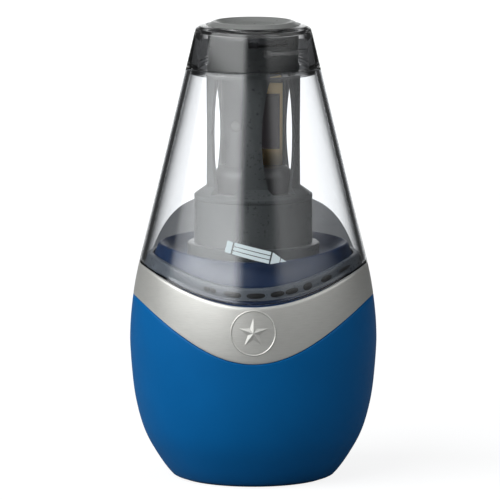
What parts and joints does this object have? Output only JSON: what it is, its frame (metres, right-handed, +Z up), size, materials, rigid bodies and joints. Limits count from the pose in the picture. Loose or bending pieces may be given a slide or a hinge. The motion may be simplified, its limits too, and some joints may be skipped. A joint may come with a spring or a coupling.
{
  "type": "battery pencil sharpener",
  "caption": "Upright battery pencil sharpener: smoke lift-off shavings reservoir and twist cap over a motor-driven twin-blade head, on a rounded base with a tilted trim band.",
  "frame": {"origin": "on the resting plane under the middle of the body", "axes": "+Z up along the pencil's axis, front (plaque side) towards -Y, +X to the right seen from the front"},
  "size_m": [0.0968, 0.0973, 0.1793],
  "materials": {
    "blue_plastic": "gloss",
    "silver_trim": "satin",
    "blue_dark": "gloss",
    "smoke_clear": "transparent gloss",
    "grey_plastic": "satin",
    "cage_grey": "satin",
    "head_grey": "satin",
    "blade_gold": "coated",
    "clamp_dark": "satin",
    "bright_steel": "bright",
    "gear_nylon": "matte",
    "bush_brass": "satin",
    "copper_wound": "varnished winding",
    "zinc_steel": "zinc",
    "ferrite": "matte",
    "black_plastic": "matte",
    "cell_jacket": "printed film",
    "board": "matte",
    "rubber": "matte",
    "wire_red": "matte",
    "wire_black": "matte"
  },
  "bodies": {
    "base": {"base_shell": "blue_plastic", "trim_band": "silver_trim", "band_badge": "silver_trim", "deck": "blue_dark", "cutter_cage": "cage_grey", "pencil_guide": "cage_grey", "upper_bush": "bush_brass", "lower_bush": "bush_brass", "upper_plate": "head_grey", "gear_plate": "head_grey", "idler_axle": "zinc_steel", "motor_can": "zinc_steel", "motor_magnets": "ferrite", "motor_endcap": "gear_nylon", "motor_screws": "bright_steel", "plate_screws": "bright_steel", "gearbox_screws": "bright_steel", "start_spring": "bright_steel", "start_switch": "black_plastic", "switch_bracket": "head_grey", "battery_tray": "black_plastic", "tray_lid": "black_plastic", "tray_screws": "bright_steel", "battery_cells": "cell_jacket", "contact_strips": "bright_steel", "contact_springs": "bright_steel", "contact_board": "board", "foot_ring": "rubber", "lead_red": "wire_red", "lead_black": "wire_black"},
    "cutter": {"cutter_head": "head_grey", "blades": "blade_gold", "blade_clamps": "clamp_dark", "clamp_screws": "bright_steel", "drive_shaft": "zinc_steel", "output_gear": "gear_nylon"},
    "idler": {"idler_gear": "gear_nylon"},
    "rotor": {"motor_pinion": "bush_brass", "motor_shaft": "zinc_steel", "armature": "copper_wound"},
    "reservoir": {"reservoir": "smoke_clear"},
    "cap": {"cap_shell": "smoke_clear", "cap_dish": "grey_plastic"},
    "start_pin": {"start_pin": "gear_nylon"},
    "battery_door": {"battery_door": "blue_plastic"}
  },
  "joints": [
    {"name": "cutter_spin", "type": "hinge", "parent": "base", "child": "cutter", "pos_m": [0, 0, 0.13], "axis": [0, 0, 1], "continuous": true},
    {"name": "idler_spin", "type": "hinge", "parent": "base", "child": "idler", "pos_m": [0.0088, 0.00816, 0.093], "axis": [0, 0, 1], "continuous": true},
    {"name": "rotor_spin", "type": "hinge", "parent": "base", "child": "rotor", "pos_m": [0, 0.0139, 0.075], "axis": [0, 0, 1], "continuous": true},
    {"name": "reservoir_lift", "type": "slide", "parent": "base", "child": "reservoir", "axis": [0, 0, 1], "range_m": [0, 0.105]},
    {"name": "cap_turn", "type": "hinge", "parent": "reservoir", "child": "cap", "pos_m": [0, 0, 0.17], "axis": [0, 0, 1], "range_deg": [0, 40]},
    {"name": "start_press", "type": "slide", "parent": "base", "child": "start_pin", "axis": [0, 0, 1], "range_m": [-0.0015, 0], "stiffness_N_per_m": 150, "deforming": ["start_spring"]},
    {"name": "door_turn", "type": "hinge", "parent": "base", "child": "battery_door", "pos_m": [0, 0, 0.002], "axis": [0, 0, 1], "range_deg": [0, 45]}
  ],
  "couplings": [
    {"joint": "idler_spin", "follows": "cutter_spin", "ratio": -3},
    {"joint": "rotor_spin", "follows": "cutter_spin", "ratio": 7.5}
  ]
}
